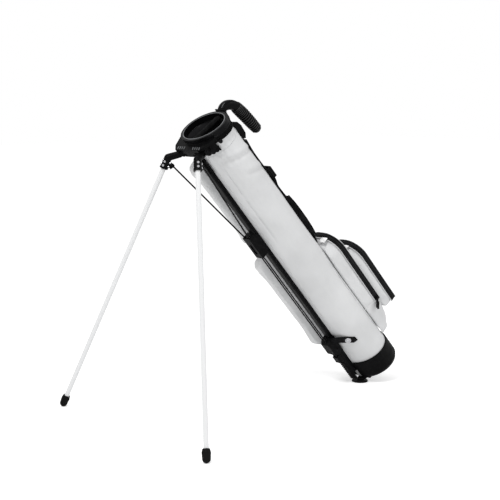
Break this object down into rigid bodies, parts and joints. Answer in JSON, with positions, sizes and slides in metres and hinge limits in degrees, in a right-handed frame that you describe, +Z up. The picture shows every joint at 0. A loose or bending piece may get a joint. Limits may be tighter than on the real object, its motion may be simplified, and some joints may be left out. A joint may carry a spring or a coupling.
{
  "type": "golf stand bag",
  "caption": "Slim golf stand bag standing on fold-out legs and a rocker foot, with ball pockets, side pockets, handle and shoulder strap",
  "frame": {"origin": "centre of the footprint, on the floor that the legs and rocker foot stand on", "axes": "+X from the legs towards the base, +Y towards the side pockets, +Z up"},
  "size_m": [0.8802, 0.613, 0.7733],
  "materials": {
    "white_leatherette": "soft white leatherette, fine grain, semi-gloss",
    "black_plastic": "moulded black plastic, light satin",
    "rim_plastic": "moulded black plastic, polished lip",
    "black_metal": "black powder coat",
    "white_metal": "white gloss paint on aluminium tube",
    "steel": "bright pins, rivets and screws",
    "chrome": "polished snap cap",
    "black_rubber": "black moulded rubber",
    "black_webbing": "woven black webbing",
    "black_fabric": "black mesh over foam",
    "zip_tape": "coated black zip tape",
    "tag_white": "white stitched tag, blank"
  },
  "bodies": {
    "bag": {"bag_body": "white_leatherette", "collar_skirt": "black_plastic", "collar_rim": "rim_plastic", "divider_bar": "black_fabric", "divider_panel": "black_fabric", "stand_head": "black_plastic", "head_lug": "black_webbing", "collar_button": "black_plastic", "hinge_pin_near": "steel", "hinge_pin_far": "steel", "spine_rail": "black_plastic", "rail_band": "black_rubber", "clip_block": "black_plastic", "clip_screws": "steel", "leg_strap": "black_webbing", "strap_snap": "chrome", "base_cup": "black_plastic", "base_bumpers": "black_rubber", "foot_pin": "steel", "handle_arm": "black_plastic", "handle_grip": "black_rubber", "handle_screws": "steel", "strap_hub": "black_plastic", "shoulder_strap": "black_webbing", "shoulder_pad": "black_fabric", "strap_buckle": "black_plastic", "strap_anchor": "black_webbing", "pocket_main": "white_leatherette", "zip_tape_main": "zip_tape", "pocket_outer": "white_leatherette", "zip_tape_outer": "zip_tape", "zip_tags": "tag_white", "side_pocket_upper": "white_leatherette", "side_pocket_lower": "white_leatherette", "side_zip_tapes": "zip_tape"},
    "leg_near": {"knuckle_near": "black_plastic", "leg_tube_near": "white_metal", "leg_foot_near": "black_rubber", "socket_rivets_near": "steel"},
    "leg_far": {"knuckle_far": "black_plastic", "leg_tube_far": "white_metal", "leg_foot_far": "black_rubber", "socket_rivets_far": "steel"},
    "actuator": {"slider_block": "black_plastic", "push_rods": "black_metal", "push_link": "black_plastic"},
    "rod_near": {"upper_rod_near": "black_metal"},
    "rod_far": {"upper_rod_far": "black_metal"},
    "foot": {"rocker_foot": "black_plastic", "rocker_pad": "black_rubber"},
    "main_zip": {"zip_slider_main": "black_metal"},
    "main_pull": {"zip_pull_main": "black_plastic"},
    "outer_zip": {"zip_slider_outer": "black_metal"},
    "outer_pull": {"zip_pull_outer": "black_plastic"}
  },
  "joints": [
    {"name": "leg_near_fold", "type": "hinge", "parent": "bag", "child": "leg_near", "pos_m": [-0.23865, -0.04, 0.6502], "axis": [0.3016, -0.9143, 0.2706], "range_deg": [0, 54]},
    {"name": "leg_far_fold", "type": "hinge", "parent": "bag", "child": "leg_far", "pos_m": [-0.23865, 0.04, 0.6502], "axis": [-0.3016, -0.9143, -0.2706], "range_deg": [0, 54]},
    {"name": "actuator_slide", "type": "slide", "parent": "bag", "child": "actuator", "axis": [0.661, 0, -0.7504], "range_m": [0, 0.0294]},
    {"name": "rod_near_swing", "type": "hinge", "parent": "actuator", "child": "rod_near", "pos_m": [-0.06793, -0.0065, 0.42753], "axis": [-0.4179, 0.897, -0.1443], "range_deg": [0, 5.77]},
    {"name": "rod_far_swing", "type": "hinge", "parent": "actuator", "child": "rod_far", "pos_m": [-0.06793, 0.0065, 0.42753], "axis": [0.4179, 0.897, 0.1443], "range_deg": [0, 5.77]},
    {"name": "foot_rock", "type": "hinge", "parent": "bag", "child": "foot", "pos_m": [0.35409, 0, 0.01653], "axis": [0, -1, 0], "range_deg": [0, 36]},
    {"name": "main_zip_slide", "type": "slide", "parent": "bag", "child": "main_zip", "axis": [-0.6678, 0, 0.7443], "range_m": [0, 0.19]},
    {"name": "main_pull_swing", "type": "hinge", "parent": "main_zip", "child": "main_pull", "pos_m": [0.33768, -0.0553, 0.24296], "axis": [0, 1, 0], "range_deg": [-40, 40]},
    {"name": "outer_zip_slide", "type": "slide", "parent": "bag", "child": "outer_zip", "axis": [-0.6678, 0, 0.7443], "range_m": [0, 0.16]},
    {"name": "outer_pull_swing", "type": "hinge", "parent": "outer_zip", "child": "outer_pull", "pos_m": [0.40189, 0.0523, 0.23877], "axis": [0, 1, 0], "range_deg": [-40, 40]}
  ],
  "couplings": [
    {"joint": "leg_far_fold", "follows": "leg_near_fold", "ratio": 1},
    {"joint": "actuator_slide", "follows": "leg_near_fold", "m_per_rad": 0.031194},
    {"joint": "rod_near_swing", "follows": "leg_near_fold", "ratio": 0.10693},
    {"joint": "rod_far_swing", "follows": "leg_near_fold", "ratio": 0.10693},
    {"joint": "foot_rock", "follows": "leg_near_fold", "ratio": 0.66667}
  ]
}
